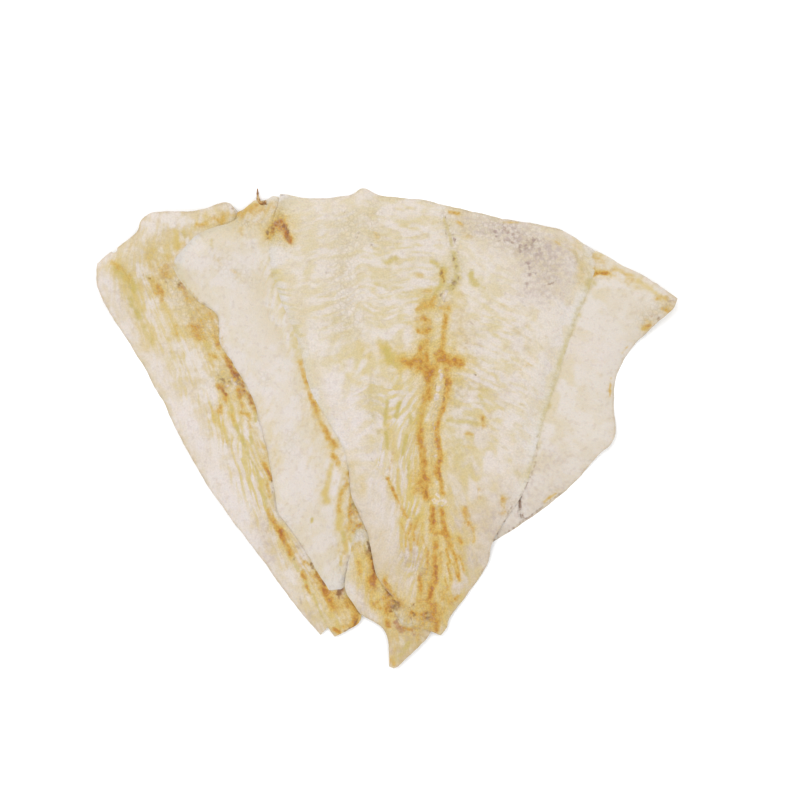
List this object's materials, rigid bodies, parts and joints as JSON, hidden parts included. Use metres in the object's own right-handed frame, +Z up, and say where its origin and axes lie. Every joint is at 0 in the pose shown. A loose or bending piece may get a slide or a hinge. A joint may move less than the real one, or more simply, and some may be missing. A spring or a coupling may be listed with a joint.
{
  "type": "roasted cod strip",
  "caption": "Thin wavy fan of overlapping split cod fillets, roasted and dried into one sheet that lies flat.",
  "frame": {"origin": "middle of the sheet's outline, on the surface that it lies on", "axes": "+X across the fan, +Y from the tails to the wide collar edge, +Z up out of the sheet"},
  "size_m": [0.2387, 0.1972, 0.0072],
  "materials": {
    "front_flesh": "matte dried flesh, cream with yellow and brown lines",
    "middle_flesh": "matte dried flesh, pale and smooth",
    "left_flesh": "matte dried flesh, tan with a brown band",
    "right_flesh": "matte dried flesh, pale beige",
    "tail_flesh": "matte dried flesh, tan with a brown streak"
  },
  "bodies": {
    "root": {"fillet_front": "front_flesh", "fillet_middle": "middle_flesh", "fillet_left": "left_flesh", "fillet_right": "right_flesh", "fillet_tail": "tail_flesh"}
  },
  "joints": []
}
